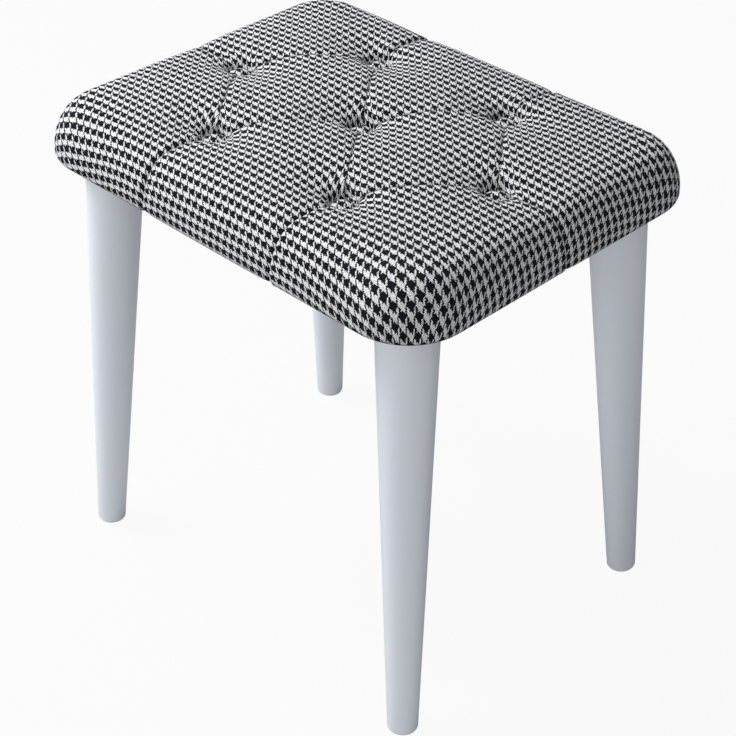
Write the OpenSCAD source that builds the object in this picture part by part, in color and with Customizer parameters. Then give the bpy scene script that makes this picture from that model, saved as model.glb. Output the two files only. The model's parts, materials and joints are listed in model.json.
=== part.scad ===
// Tufted stool: a padded seat in woven check cloth, drawn down by covered buttons, on four splayed turned legs.
// X runs along the seat, Y from front to back, Z up. The origin is on the floor, under the middle of the seat.

/* [Seat] */
// Length of the covered seat
seat_l = 450; // [430:1:480]
// Width of the covered seat, front to back
seat_w = 350; // [335:1:380]
// Height of the covered seat, from its underside to its crown
seat_h = 55; // [52:0.5:62]
// Radius of the seat's corners in plan
seat_corner_r = 54; // [48:1:60]
// Height from the edge of the top to the crown
crown_rise = 3.6; // [1:0.1:6]
// How far the rounded edge of the seat reaches in over the top
edge_roll = 37; // [34:0.5:40]
// Bevel where the side turns under the seat
under_bevel = 7; // [6.6:0.1:9]
// Radius of the corners of the top, inside the rounded edge
top_corner_r = 50; // [46:1:52]

/* [Tufts] */
// Distance from the ends of the seat to the nearest tufts
tuft_end_x = 75; // [73:0.5:80]
// Distance from the front and back of the seat to the nearest tufts
tuft_end_y = 80; // [77:0.5:84]
// Depth of a tuft below the crown
tuft_depth = 19.5; // [14:0.5:22]
// Half the width of the flat seat that a button presses into the cloth
tuft_flat = 11; // [10.2:0.1:12]
// How far a tuft draws the cloth down around that flat seat
tuft_reach = 34; // [28:1:40]
// Depth of the pleats that run between the tufts
pleat_depth = 6; // [3:0.5:8]
// Half the width of a pleat
pleat_w = 10; // [8:0.5:12]
// How far a pleat draws in the rounded edge
pleat_draw = 3; // [1:0.5:4]
// Half the width of the needle hole under each button
needle_hole = 3.5; // [3:0.1:4]

/* [Padding and cover] */
// Thickness of the cover's cloth
cloth_t = 1.2; // [0.8:0.1:1.6]
// Thickness of the folded hem under the seat
hem_t = 2.4; // [2:0.1:3.2]
// Distance from the edge of the seat to the inner edge of the hem
hem_w = 20; // [18:0.5:20.5]
// Distance from the edge of the seat to where the cloth meets the board
hem_turn = 6.2; // [5.6:0.1:6.8]
// Thickness of the fibre wadding
wadding_t = 3.5; // [2.5:0.1:3.8]
// Gap between one soft layer and the next
layer_gap = 0.3; // [0.2:0.05:0.4]

/* [Board] */
// Distance from the edge of the seat to the edge of its board
board_inset = 8; // [7.8:0.1:10]
// Thickness of the seat board
board_t = 16; // [15:0.5:18]
// Diameter of the twine holes in the board
twine_hole_d = 8; // [7:0.5:10]

/* [Buttons and twine] */
// Diameter of a covered button
button_d = 20; // [18:0.5:20.4]
// Height of a covered button
button_h = 5.5; // [4.5:0.1:6.5]
// Diameter of the plate that closes the back of a button
button_back_d = 15; // [13:0.5:16]
// Thickness of that plate
button_back_t = 1.2; // [1:0.1:1.6]
// Diameter of the wire of a button's eye
eye_wire_d = 1; // [0.8:0.1:1.2]
// Width of the eye, between the middles of its wires
eye_w = 3.2; // [3:0.1:3.6]
// Drop of the eye below the button
eye_drop = 3; // [2.8:0.1:4]
// Diameter of the tufting twine
twine_d = 1.2; // [1:0.1:1.4]
// Radius of the twine's bend under the board
twine_bend_r = 2; // [1.6:0.1:2.4]
// Length of the twine's tail under the board
twine_tail_l = 20; // [18:0.5:26]

/* [Staples] */
// Width of a staple's crown
staple_w = 10; // [8:0.5:12]
// Length of a staple's legs
staple_leg_l = 8; // [6:0.5:10]
// Thickness of the staple wire
staple_wire_t = 0.6; // [0.5:0.05:0.8]
// Breadth of the staple wire
staple_wire_w = 1.2; // [1:0.1:1.4]
// Distance from one staple to the next along the hem
staple_pitch = 28; // [24:1:36]
// Distance from the edge of the seat to the staples of the cover
cover_staple_inset = 11; // [10:0.5:12]
// Distance from the edge of the seat to the staples of the dust cover
dust_staple_inset = 17; // [16:0.5:18]

/* [Dust cover] */
// Thickness of the dust cover
dust_t = 0.5; // [0.3:0.1:0.8]
// Distance from the edge of the seat to the edge of the dust cover
dust_inset = 13; // [12.6:0.1:14]

/* [Legs] */
// Length of a leg
leg_l = 400; // [340:1:460]
// Diameter of a leg at the top
leg_top_d = 51.3; // [46:0.1:54]
// Diameter of a leg at the foot
leg_foot_d = 26.6; // [24:0.1:32]
// Lean of a leg towards its corner, in degrees
leg_lean = 4.9; // [4:0.1:6]
// Distance from both edges of the seat to the middle of a leg, at the board
leg_inset = 51.5; // [51:0.5:54]
// Bevel round the top of a leg
leg_bevel = 1; // [0.5:0.1:2]
// Rounding of the foot
foot_round = 4; // [3:0.1:5]
// How much is trimmed off the middle of the foot so that it stands flat
foot_trim = 1.2; // [1.2:0.1:2]

/* [Leg plates] */
// Diameter of a leg plate
plate_d = 58; // [56:0.5:58.5]
// Thickness of the plate's sheet metal
plate_t = 2; // [1.5:0.1:2.2]
// Diameter of the tilted cup pressed into the plate
cup_d = 34; // [32:0.5:35]
// Distance from the board to the cup's face, along the leg
cup_h = 8; // [8:0.1:10]
// Distance of the screws from the middle of the plate
screw_circle_r = 23.5; // [23:0.1:24]
// Diameter of a screw's shank
screw_d = 4; // [3.5:0.1:4.2]
// Diameter of a screw's head
screw_head_d = 8; // [7.5:0.1:8.5]
// Height of a screw's head
screw_head_h = 2.2; // [1.8:0.1:2.4]
// Length of a screw below its head
screw_l = 14; // [12:0.5:15]
// Diameter of the leg bolt's thread
bolt_d = 8; // [6:0.5:8]
// Length of the leg bolt that stands out of the leg
bolt_out_l = 14; // [12:0.5:16]
// Length of the leg bolt inside the leg
bolt_in_l = 30; // [25:0.5:40]
// Width across the flats of the nut
nut_w = 13; // [12:0.5:14]
// Height of the nut
nut_h = 5; // [4:0.1:5.2]

/* [Clearances] */
// Clearance round a bolt in its nut and in the leg
thread_clearance = 0.05; // [0.03:0.01:0.1]
// Clearance round a staple's leg in the board and the dust cover
staple_clearance = 0.02; // [0.01:0.01:0.05]
// Clearance round a screw in the plate and in the board
screw_clearance = 0.1; // [0.05:0.01:0.2]
// Clearance round the bolt where it passes the plate
bolt_clearance = 0.3; // [0.2:0.05:0.5]
// Clearance round the leg plate in the dust cover
plate_clearance = 1.5; // [1:0.1:1.8]
// Clearance between the button's eye and the twine
twine_clearance = 0.1; // [0.05:0.01:0.2]
// Clearance between a button and the plate in its back
back_clearance = 0.05; // [0.03:0.01:0.1]

/* [Hidden] */
$fn = 64;
// How far a cutting shape runs past what it cuts
overrun = 2;
// Power that flattens the dome of the top between the tufts
dome_power = 4;
// Steps of the grid from the middle of a corner to its end
corner_steps = 3;
// Depth of the recess for the bolt's tip in the board, past the tip
tip_room = 2;
// Width of the slots in a screw's head, and their depth
slot_w = 0.9;
slot_depth = 1.2;
// Length of the point of a screw, and of the leg bolt
screw_point = 3;
bolt_point = 6;
// Share of a screw head's diameter that the slots cross
slot_share = 0.55;
// Angles at which the rounded edge has a ring of points, from the top outwards
roll_angles = [30, 60, 90];
// Places of the first and second staple on a twine's tail, as shares of its length
tail_staple_shares = [0.35, 0.75];
// Corners of the seat, as signs of X and Y
front_left = [-1, -1];
front_right = [1, -1];
back_right = [1, 1];
back_left = [-1, 1];
corners = [front_left, front_right, back_right, back_left];

// Heights: the legs and the cups of their plates carry the board
board_z = (leg_l + cup_h) * cos(leg_lean) - foot_trim;
board_top_z = board_z + board_t;
under_z = board_z - hem_t;
crown_z = under_z + seat_h;
edge_z = crown_z - crown_rise;
side_z = under_z + under_bevel;
well_z = crown_z - tuft_depth;
dust_z = under_z - dust_t;

// Outlines
seat_half = [seat_l / 2, seat_w / 2];
top_half = seat_half - [edge_roll, edge_roll];
top_middle = top_half - [top_corner_r, top_corner_r];
corner_middle = seat_half - [seat_corner_r, seat_corner_r];
leg_place = seat_half - [leg_inset, leg_inset];

// Depths of the soft layers below the outer face of the cover
wadding_out = cloth_t + layer_gap;
wadding_in = wadding_out + wadding_t;
foam_out = wadding_in + layer_gap;

// The tufts, as steps of the two pitches: rows of two, three and two
tufts = [for (kx = [-2 : 2]) for (ky = [-1 : 1])
    if (abs(kx) + abs(ky) != 1 && abs(kx) + abs(ky) < 3) [kx, ky]];
tuft_pitch = [(seat_half.x - tuft_end_x) / 2, seat_half.y - tuft_end_y];
function tuft_place(t) = [t.x * tuft_pitch.x, t.y * tuft_pitch.y];
// Pleats run from tuft to tuft, and from the outer tufts straight to the nearest edge
pleats = concat(
    [for (a = tufts) for (b = tufts) if (b.x - a.x == 1 && abs(b.y - a.y) == 1) [tuft_place(a), tuft_place(b)]],
    [for (a = tufts) if (abs(a.y) == 1) [tuft_place(a), [a.x * tuft_pitch.x, a.y * top_half.y]]],
    [for (a = tufts) if (abs(a.x) == 2) [tuft_place(a), [sign(a.x) * top_half.x, 0]]]);

// Grid lines across the top, from the middle outwards: on each tuft, beside its flat seat and midway to the next
function tuft_lines(place, pitch) = [place - pitch / 2, place - tuft_flat, place, place + tuft_flat];
function half_lines(pitch, count, edge) = concat([0, tuft_flat],
    [for (k = [1 : count]) each tuft_lines(k * pitch, pitch)], [edge]);
function both_ways(half) = concat([for (k = [len(half) - 1 : -1 : 1]) -half[k]], half);
lines_per_tuft = 4;
x_lines = both_ways(half_lines(tuft_pitch.x, 2, top_half.x));
y_lines = both_ways(half_lines(tuft_pitch.y, 1, top_half.y));
last_i = len(x_lines) - 1;
last_j = len(y_lines) - 1;
tuft_cells = [for (t = tufts) [last_i / 2 + t.x * lines_per_tuft, last_j / 2 + t.y * lines_per_tuft]];

// Height of the cover's outer face over the top
function to_line(p, a, b) = let (run = b - a, share = min(1, max(0, (p - a) * run / (run * run))))
    norm(p - a - share * run);
function dimple(p) = max([for (t = tufts) let (q = p - tuft_place(t), d = max(abs(q.x), abs(q.y)) - tuft_flat)
    d <= 0 ? 1 : pow(max(0, 1 - d / tuft_reach), 2)]);
function groove(p) = max([for (s = pleats) max(0, 1 - to_line(p, s[0], s[1]) / pleat_w)]);
function dome(p) = edge_z + crown_rise * (1 - pow(abs(p.x) / top_half.x, dome_power))
    * (1 - pow(abs(p.y) / top_half.y, dome_power));
function top_z(p) = let (f = dimple(p)) (dome(p) - pleat_depth * groove(p)) * (1 - f) + well_z * f;

// Points of the top: a square corner is drawn in to a round one
function rounded(p) = let (d = [abs(p.x), abs(p.y)] - top_middle)
    min(d) <= 0 ? p : let (q = top_middle + d * max(d) / norm(d)) [sign(p.x) * q.x, sign(p.y) * q.y];
function line_point(i, j) = [x_lines[i], y_lines[j]];
function lift(p, z) = [p.x, p.y, z];
function is_tuft(i, j) = len([for (c = tuft_cells) if (c == [i, j]) 1]) > 0;
// A sheet over the top at a depth below the cover's face, or flat at a height
function sheet_z(p, depth, flat) = is_undef(flat) ? top_z(p) - depth : flat;
function sheet(depth, flat) = concat(
    [for (j = [0 : last_j]) for (i = [0 : last_i]) let (p = line_point(i, j))
        lift(rounded(p) + (is_tuft(i, j) ? [needle_hole, 0] : [0, 0]), sheet_z(p, depth, flat))],
    [for (c = tuft_cells) for (way = [[0, 1], [-1, 0], [0, -1]]) let (p = line_point(c.x, c.y))
        lift(p + way * needle_hole, sheet_z(p, depth, flat))]);

// The edge of the grid, anticlockwise from its front left corner
edge_cells = concat([for (i = [0 : last_i - 1]) [i, 0]], [for (j = [0 : last_j - 1]) [last_i, j]],
    [for (i = [last_i : -1 : 1]) [i, last_j]], [for (j = [last_j : -1 : 1]) [0, j]]);
edge_count = len(edge_cells);
// A point of the seat's outline, inset by a distance, for the edge cell c.
// The last steps to a corner share its arc
function outline(c, inset) = let (p = line_point(c.x, c.y), way = [sign(p.x), sign(p.y)],
    at_end = c.x == 0 || c.x == last_i, steps = min(c.x, last_i - c.x) + min(c.y, last_j - c.y),
    turn = 45 * (1 - steps / corner_steps),
    arm = at_end ? [cos(turn), sin(turn)] : [sin(turn), cos(turn)],
    q = corner_middle + (seat_corner_r - inset) * arm)
    steps <= corner_steps ? [way.x * q.x, way.y * q.y]
    : at_end ? [way.x * (seat_half.x - inset), p.y] : [p.x, way.y * (seat_half.y - inset)];
// A ring of the rounded edge at an angle from the upright, for a layer at a depth
function roll_ring(depth, angle) = [for (c = edge_cells) let (p = line_point(c.x, c.y), top = rounded(p),
    out = outline(c, depth + pleat_draw * groove(p) * cos(angle)))
    lift(top + (out - top) * sin(angle), side_z + (top_z(p) - depth - side_z) * cos(angle))];
function roll_rings(depth) = [for (a = roll_angles) roll_ring(depth, a)];
function level_ring(inset, z) = [for (c = edge_cells) lift(outline(c, inset), z)];
// Where the last stretch of a layer's rounded edge crosses a level
function cut_ring(depth, z) = let (a = roll_ring(depth, roll_angles[1]), b = roll_ring(depth, roll_angles[2]))
    [for (k = [0 : edge_count - 1]) a[k] + (b[k] - a[k]) * (a[k].z - z) / (a[k].z - b[k].z)];

// Faces, written anticlockwise as seen from outside
grid_count = (last_i + 1) * (last_j + 1);
sheet_count = grid_count + 3 * len(tufts);
function cell_index(i, j) = j * (last_i + 1) + i;
// Points round a needle hole: east is the grid's own point
function hole_points(t) = concat([cell_index(tuft_cells[t].x, tuft_cells[t].y)],
    [for (k = [0 : 2]) grid_count + 3 * t + k]);
// The corner of a cell: one point, or the two on the edge of a needle hole, by the quarter that the cell lies in
function cell_corner(i, j, quarter) =
    let (t = [for (k = [0 : len(tufts) - 1]) if (tuft_cells[k] == [i, j]) k])
    len(t) == 0 ? [cell_index(i, j)] : let (h = hole_points(t[0])) [h[(quarter + 1) % 4], h[quarter]];
// Each cell is split along its lower diagonal, so that a pleat lies on an edge
function cell_faces(i, j, points) = let (sw = cell_corner(i, j, 0), se = cell_corner(i + 1, j, 1),
    ne = cell_corner(i + 1, j + 1, 2), nw = cell_corner(i, j + 1, 3), all = concat(sw, se, ne, nw))
    len(all) == 4
    ? (points[all[0]].z + points[all[2]].z <= points[all[1]].z + points[all[3]].z
        ? [[all[0], all[1], all[2]], [all[0], all[2], all[3]]]
        : [[all[1], all[2], all[3]], [all[1], all[3], all[0]]])
    : let (start = len(sw) == 2 ? 3 : len(se) == 2 ? 4 : len(ne) == 2 ? 0 : 1)
        [for (k = [1 : 3]) [all[start], all[(start + k) % 5], all[(start + k + 1) % 5]]];
function sheet_faces(points) =
    [for (j = [0 : last_j - 1]) for (i = [0 : last_i - 1]) each cell_faces(i, j, points)];
// Point k of ring r, where ring -1 is the edge of the grid
function ring_index(r, k) = let (m = k % edge_count)
    r < 0 ? cell_index(edge_cells[m].x, edge_cells[m].y) : sheet_count + r * edge_count + m;
function band(upper, lower, upper_base, lower_base) = [for (k = [0 : edge_count - 1]) let (
    u = upper_base + ring_index(upper, k), v = upper_base + ring_index(upper, k + 1),
    l = lower_base + ring_index(lower, k), m = lower_base + ring_index(lower, k + 1))
    each [[l, m, v], [l, v, u]]];
function bands(count) = [for (r = [0 : count - 1]) each band(r - 1, r, 0, 0)];
function hole_walls(base) = [for (t = [0 : len(tufts) - 1]) let (h = hole_points(t)) for (k = [0 : 3])
    let (a = h[k], b = h[(k + 1) % 4]) each [[base + a, b, base + b], [base + a, a, b]]];
function turned(faces) = [for (f = faces) [f[2], f[1], f[0]]];
function raised(faces, base) = [for (f = faces) [base + f[0], base + f[1], base + f[2]]];

// A soft layer between an upper sheet with its rings and a lower sheet with its rings. Its faces are turned
// clockwise at the end, as a polyhedron takes them
module soft_layer(upper, upper_rings, lower, lower_rings) {
    base = len(upper) + len(upper_rings) * edge_count;
    points = concat(upper, [for (r = upper_rings) each r], lower, [for (r = lower_rings) each r]);
    lower_bands = len(lower_rings) == 0 ? [] : bands(len(lower_rings));
    faces = concat(sheet_faces(upper), bands(len(upper_rings)), hole_walls(base),
        band(len(upper_rings) - 1, len(lower_rings) - 1, 0, base),
        turned(raised(concat(sheet_faces(upper), lower_bands), base)));
    polyhedron(points, turned(faces), convexity = len(tufts));
}

// A flat shape with round corners
module outline_2d(half, r) {
    square([2 * half.x, 2 * (half.y - r)], center = true);
    square([2 * (half.x - r), 2 * half.y], center = true);
    for (c = corners) translate([c.x * (half.x - r), c.y * (half.y - r)]) circle(r);
}
// The seat's outline, inset by a distance
module inset_outline_2d(inset) {
    outline_2d(seat_half - [inset, inset], seat_corner_r - inset);
}

// The axis of a leg: Z runs up it, and its zero is on the underside of the board
module leaning(corner) {
    translate([corner.x * leg_place.x, corner.y * leg_place.y, board_z])
        rotate(leg_lean, [corner.y, -corner.x, 0]) children();
}
module at_leg(corner) {
    translate([corner.x * leg_place.x, corner.y * leg_place.y, board_z]) children();
}
module at_screws(corner) {
    for (turn = [45 : 90 : 315]) at_leg(corner) rotate(turn) translate([screw_circle_r, 0, 0]) children();
}
module at_tuft(t) {
    translate(lift(tuft_place(t), well_z)) children();
}

module seat_board() color("burlywood") difference() {
    translate([0, 0, board_z]) linear_extrude(board_t) inset_outline_2d(board_inset);
    for (t = tufts) translate(lift(tuft_place(t), board_z - overrun))
        cylinder(h = board_t + 2 * overrun, d = twine_hole_d);
    for (c = corners) {
        at_leg(c) translate([0, 0, -overrun])
            cylinder(h = bolt_out_l - cup_h + tip_room + overrun, d = nut_w + 2 * bolt_clearance);
        at_screws(c) translate([0, 0, -overrun])
            cylinder(h = screw_l + overrun, r = screw_d / 2 + screw_clearance);
    }
    along_tails() staple_legs(staple_clearance);
    along_hem(cover_staple_inset, under_z) staple_legs(staple_clearance);
    along_hem(dust_staple_inset, dust_z) staple_legs(staple_clearance);
}

module foam_pad() color("khaki") soft_layer(sheet(foam_out),
    [roll_ring(foam_out, roll_angles[0]), roll_ring(foam_out, roll_angles[1]), cut_ring(foam_out, board_top_z)],
    sheet(foam_out, board_top_z), []);

module wadding() color("whitesmoke") soft_layer(sheet(wadding_out), roll_rings(wadding_out),
    sheet(wadding_in), roll_rings(wadding_in));

module seat_cover() color("dimgray") soft_layer(sheet(0),
    concat(roll_rings(0), [level_ring(under_bevel, under_z), level_ring(hem_w, under_z)]),
    sheet(cloth_t),
    concat(roll_rings(cloth_t), [level_ring(hem_turn, board_z), level_ring(hem_w, board_z)]));

// A button: a low dome whose back is recessed for its plate
module tuft_button(t) color("slategray") at_tuft(t) difference() {
    rotate_extrude() intersection() {
        translate([0, button_h - dome_r]) circle(dome_r);
        square([button_d / 2, button_h]);
    }
    translate([0, 0, -overrun]) cylinder(h = button_back_t + overrun, d = button_back_d + 2 * back_clearance);
}
// Radius of a dome that is as high as the button and meets its rim a third of the way up
rim_h = button_h / 3;
dome_r = (pow(button_d / 2, 2) + pow(button_h - rim_h, 2)) / (2 * (button_h - rim_h));

// The plate in a button's back, with the wire eye that the twine goes through
module button_back() {
    cylinder(h = button_back_t, d = button_back_d);
    for (side = [-1, 1]) translate([0, side * eye_w / 2, eye_w / 2 - eye_drop])
        cylinder(h = eye_drop - eye_w / 2 + button_back_t / 2, d = eye_wire_d);
    translate([0, 0, eye_w / 2 - eye_drop]) rotate([90, 0, 90]) rotate(180) rotate_extrude(angle = 180)
        translate([eye_w / 2, 0]) circle(d = eye_wire_d);
}
module button_backs() color("silver") for (t = tufts) at_tuft(t) button_back();

// The twine: over the wire of the eye, down through the padding and the board, and back along the underside
loop_r = (eye_wire_d + twine_d) / 2 + twine_clearance;
tail_z = board_z - twine_d / 2;
module tuft_twine() {
    drop = well_z - eye_drop - tail_z;
    translate([0, 0, -eye_drop]) rotate([90, 0, 0]) rotate_extrude(angle = 180)
        translate([loop_r, 0]) circle(d = twine_d, $fn = 24);
    for (side = [-1, 1]) translate([side * loop_r, 0, -eye_drop - drop]) {
        translate([0, 0, twine_bend_r]) cylinder(h = drop - twine_bend_r, d = twine_d, $fn = 24);
        translate([0, twine_bend_r, twine_bend_r]) rotate([0, -90, 0]) rotate(180) rotate_extrude(angle = 90)
            translate([twine_bend_r, 0]) circle(d = twine_d, $fn = 24);
        translate([0, twine_bend_r, 0]) rotate([-90, 0, 0])
            cylinder(h = twine_tail_l - twine_bend_r, d = twine_d, $fn = 24);
    }
}
module tuft_twines() color("tan") for (t = tufts) at_tuft(t) tuft_twine();

// A staple with its crown under the level of z = 0 and its legs upwards
module staple() {
    translate([-staple_w / 2, -staple_wire_w / 2, -staple_wire_t])
        cube([staple_w, staple_wire_w, staple_wire_t]);
    staple_legs(0);
}
// The legs of a staple, or the slots that they sit in, wider by a clearance all round
module staple_legs(clearance) {
    wide = staple_wire_t + 2 * clearance;
    for (side = [-1, 1]) translate([(side * (staple_w - staple_wire_t) - wide) / 2,
        -staple_wire_w / 2 - clearance, -staple_wire_t])
        cube([wide, staple_wire_w + 2 * clearance, staple_wire_t + staple_leg_l + clearance]);
}
module along_tails() {
    for (t = tufts) for (share = tail_staple_shares)
        translate(lift(tuft_place(t) + [0, share * twine_tail_l], board_z - twine_d)) children();
}
// Places along the hem: evenly on the straight stretches, and two on each corner
module along_hem(inset, z) {
    for (side = [0, 1]) {
        run = 2 * corner_middle[side];
        count = floor(run / staple_pitch);
        for (end = [-1, 1]) for (k = [0 : count])
            rotate(side * 90) translate([(k / count - 1 / 2) * run, end * (seat_half[1 - side] - inset), z])
                children();
    }
    for (c = corners) for (turn = [30, 60])
        translate([c.x * corner_middle.x, c.y * corner_middle.y, z])
            rotate(atan2(c.y * sin(turn), c.x * cos(turn))) translate([seat_corner_r - inset, 0, 0])
                rotate(90) children();
}
module twine_staples() color("silver") along_tails() staple();
module cover_staples() color("silver") along_hem(cover_staple_inset, under_z) staple();
module dust_cover_staples() color("gray") along_hem(dust_staple_inset, dust_z) staple();

module dust_cover() color("black") difference() {
    translate([0, 0, dust_z]) linear_extrude(dust_t) inset_outline_2d(dust_inset);
    for (c = corners) translate([c.x * leg_place.x, c.y * leg_place.y, dust_z - overrun])
        cylinder(h = dust_t + 2 * overrun, d = plate_d + 2 * plate_clearance);
    along_hem(dust_staple_inset, dust_z) staple_legs(staple_clearance);
}

// A leg plate: a round flange on the board, with a cup whose face stands square to the leg
module leg_plate(corner) color("darkgray") difference() {
    union() {
        at_leg(corner) translate([0, 0, -plate_t]) cylinder(h = plate_t, d = plate_d);
        leaning(corner) translate([0, 0, -cup_h]) cylinder(h = cup_h, d = cup_d);
    }
    at_leg(corner) translate([-plate_d / 2, -plate_d / 2, 0]) cube([plate_d, plate_d, plate_t + overrun]);
    leaning(corner) translate([0, 0, plate_t - cup_h]) cylinder(h = cup_h + overrun, d = cup_d - 2 * plate_t);
    leaning(corner) translate([0, 0, -cup_h - overrun])
        cylinder(h = plate_t + 2 * overrun, r = bolt_d / 2 + bolt_clearance);
    at_screws(corner) translate([0, 0, -plate_t - overrun])
        cylinder(h = plate_t + 2 * overrun, r = screw_d / 2 + screw_clearance);
}
module plate_nuts() color("silver") for (c = corners) leaning(c)
    translate([0, 0, plate_t - cup_h]) difference() {
        cylinder(h = nut_h, d = nut_w / cos(30), $fn = 6);
        translate([0, 0, -overrun]) cylinder(h = nut_h + 2 * overrun, r = bolt_d / 2 + thread_clearance);
    }

// A screw with its head under z = 0 and its point upwards
module plate_screw() {
    difference() {
        translate([0, 0, -screw_head_h]) cylinder(h = screw_head_h, d = screw_head_d);
        for (turn = [0, 90]) rotate(turn) translate([0, 0, -screw_head_h])
            cube([screw_head_d * slot_share, slot_w, 2 * slot_depth], center = true);
    }
    cylinder(h = screw_l - screw_point, d = screw_d);
    translate([0, 0, screw_l - screw_point]) cylinder(h = screw_point, d1 = screw_d, d2 = 0);
}
module plate_screws() color("silver") for (c = corners) at_screws(c) translate([0, 0, -plate_t]) plate_screw();

module leg_bolts() color("silver") for (c = corners) leaning(c) translate([0, 0, -cup_h]) {
    translate([0, 0, bolt_point - bolt_in_l]) cylinder(h = bolt_in_l - bolt_point + bolt_out_l, d = bolt_d);
    translate([0, 0, -bolt_in_l]) cylinder(h = bolt_point, d1 = 0, d2 = bolt_d);
}

// A turned leg: a long taper with a bevelled top and a rounded foot, cut level with the floor
module leg(corner) color("white") difference() {
    leaning(corner) translate([0, 0, -cup_h - leg_l]) rotate_extrude() {
        polygon([[0, 0], [leg_foot_d / 2 - foot_round, 0], [leg_foot_d / 2, foot_round],
            [leg_top_d / 2, leg_l - leg_bevel], [leg_top_d / 2 - leg_bevel, leg_l], [0, leg_l]]);
        intersection() {
            translate([leg_foot_d / 2 - foot_round, foot_round]) circle(foot_round);
            square([leg_foot_d / 2, leg_l]);
        }
    }
    leaning(corner) translate([0, 0, -cup_h - bolt_in_l])
        cylinder(h = bolt_in_l + overrun, r = bolt_d / 2 + thread_clearance);
    translate([-seat_l, -seat_w, -leg_foot_d]) cube([2 * seat_l, 2 * seat_w, leg_foot_d]);
}

seat_board();
foam_pad();
wadding();
seat_cover();
tuft_button(tufts[0]);  // tuft_button_1
tuft_button(tufts[1]);  // tuft_button_2
tuft_button(tufts[2]);  // tuft_button_3
tuft_button(tufts[3]);  // tuft_button_4
tuft_button(tufts[4]);  // tuft_button_5
tuft_button(tufts[5]);  // tuft_button_6
tuft_button(tufts[6]);  // tuft_button_7
button_backs();
tuft_twines();
twine_staples();
cover_staples();
dust_cover();
dust_cover_staples();
leg_plate(front_left);  // leg_plate_front_left
leg_plate(front_right);  // leg_plate_front_right
leg_plate(back_right);  // leg_plate_back_right
leg_plate(back_left);  // leg_plate_back_left
plate_nuts();
plate_screws();
leg_bolts();
leg(front_left);  // leg_front_left
leg(front_right);  // leg_front_right
leg(back_right);  // leg_back_right
leg(back_left);  // leg_back_left
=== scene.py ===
"""A button-tufted stool in houndstooth cloth on four splayed, tapered legs."""

import json
import math

import bpy
import numpy as np
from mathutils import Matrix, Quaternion, Vector


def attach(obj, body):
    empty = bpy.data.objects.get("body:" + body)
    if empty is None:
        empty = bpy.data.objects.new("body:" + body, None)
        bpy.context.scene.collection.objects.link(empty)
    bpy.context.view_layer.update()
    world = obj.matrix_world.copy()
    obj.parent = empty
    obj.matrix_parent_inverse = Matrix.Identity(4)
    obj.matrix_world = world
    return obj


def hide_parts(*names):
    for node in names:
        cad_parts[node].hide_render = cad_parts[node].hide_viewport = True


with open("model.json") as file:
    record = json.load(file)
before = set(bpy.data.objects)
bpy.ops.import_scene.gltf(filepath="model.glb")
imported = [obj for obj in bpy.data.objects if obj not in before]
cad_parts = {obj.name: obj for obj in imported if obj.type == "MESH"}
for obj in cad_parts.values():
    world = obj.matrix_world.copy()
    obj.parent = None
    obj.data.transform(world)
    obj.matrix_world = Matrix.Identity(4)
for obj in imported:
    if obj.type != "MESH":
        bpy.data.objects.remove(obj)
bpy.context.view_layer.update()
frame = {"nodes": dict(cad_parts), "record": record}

MM = 0.001
WHOLE_TURN = 2 * math.pi
QUARTER_TURN = math.pi / 2

# ---------------------------------------------------------------- sizes, in millimetres, as in the part's source
SEAT_HALF = (225.0, 175.0)
CORNER_R = 54.0
POLE = (SEAT_HALF[0] - CORNER_R, SEAT_HALF[1] - CORNER_R)
EDGE_ROLL = 37.0
EDGE_Z = 454.31
CROWN_RISE = 3.6
SIDE_Z = 409.91
UNDER_Z = 402.91
TURN_R = 7.0
HEM_W = 20.0
HEM_T = 2.4
BOARD_Z = 405.31
BOARD_TOP_Z = 421.31
CLOTH_T = 1.2
WADDING_OUT, WADDING_IN, FOAM_OUT = 1.5, 5.0, 5.3
PITCH = (75.0, 95.0)
TUFTS = [(-2, 0), (-1, -1), (-1, 1), (0, 0), (1, -1), (1, 1), (2, 0)]
WELL_Z = 438.41
WELL_FLAT_R = 10.4
BUTTON_R, BUTTON_H = 10.0, 5.5
LEG_PLACE = (173.5, 123.5)
LEG_LEAN = math.radians(4.9)
LEG_TOP, LEG_FOOT = -8.0, -408.0
LEG_TOP_R, LEG_FOOT_R = 25.65, 13.3
FOOT_ROUND, LEG_BEVEL = 4.0, 1.0
DUST_T, DUST_INSET = 0.5, 13.0
PLATE_HOLE_R = 30.5
CORNERS = {"front_left": (-1, -1), "front_right": (1, -1), "back_right": (1, 1), "back_left": (-1, 1)}

# ---------------------------------------------------------------- camera, lamps and floor, in metres
CAMERA_AZIMUTH, CAMERA_ELEVATION = math.radians(45.07), math.radians(35.44)
CAMERA_AIM = Vector((0.0041, 0.00364, 0.2014))
CAMERA_DISTANCE = 1.683
CAMERA_LENS, CAMERA_SENSOR = 91.56, 36
# Each lamp: its place and its energy
LAMPS = {"window": ((-1.33, -0.49, 2.09), 57),
         "low_front": ((1.52, -1.52, 0.86), 10),
         "low_left": ((-1.23, -1.76, 0.86), 11)}
LAMP_SIZE, LAMP_AIM = 1.2, (0, 0, 0.4)
ROOM_LIGHT = 0.32
FLOOR_SIZE, FLOOR_DROP = 24, 0.0002
FLOOR_OWN_WHITE = 0.93
SOLE_GAP, SOLE_GLOW = 0.0015, 0.3


def aimed(thing, place, aim):
    """Puts a camera or lamp at a place and turns it to what it looks at."""
    thing.location = place
    thing.rotation_mode = "QUATERNION"
    thing.rotation_quaternion = (Vector(aim) - Vector(place)).to_track_quat("-Z", "Y")
    bpy.context.scene.collection.objects.link(thing)


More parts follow.
